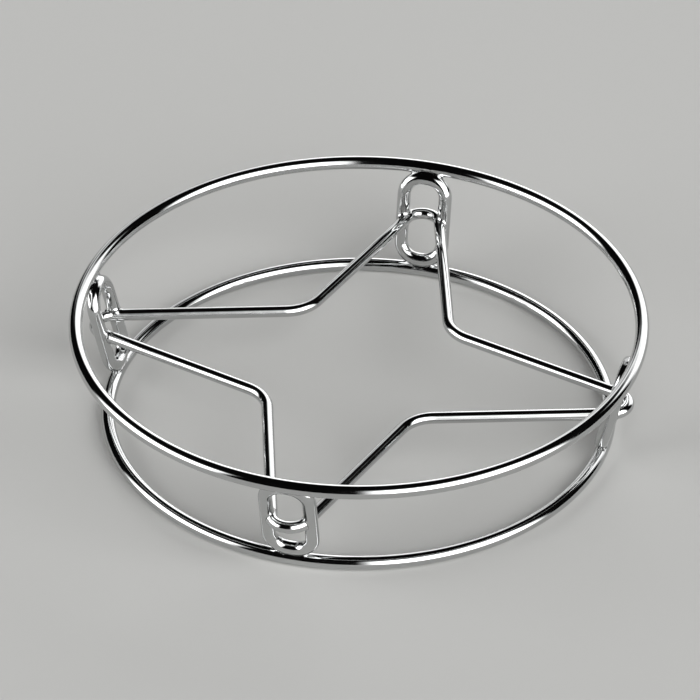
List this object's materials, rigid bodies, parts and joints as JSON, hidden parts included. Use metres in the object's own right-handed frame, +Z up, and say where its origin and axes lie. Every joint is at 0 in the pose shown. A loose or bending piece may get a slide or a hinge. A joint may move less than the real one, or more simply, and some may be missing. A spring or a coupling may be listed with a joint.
{
  "type": "pot stand",
  "caption": "Round wire pot stand: a wide upper ring and a smaller base ring joined by leaning foot loops, with a star of bent wire threaded through the loops, bright chrome plated.",
  "frame": {"origin": "on the table, under the middle of the rings", "axes": "+Z up along the rings' common axis; the foot loops stand on the X and Y axes"},
  "size_m": [0.25, 0.25, 0.053],
  "materials": {
    "chrome_plate": "bright polished chrome plate on steel wire"
  },
  "bodies": {
    "root": {"upper_ring": "chrome_plate", "lower_ring": "chrome_plate", "star_wire": "chrome_plate", "foot_loop_1": "chrome_plate", "foot_loop_2": "chrome_plate", "foot_loop_3": "chrome_plate", "foot_loop_4": "chrome_plate"}
  },
  "joints": []
}
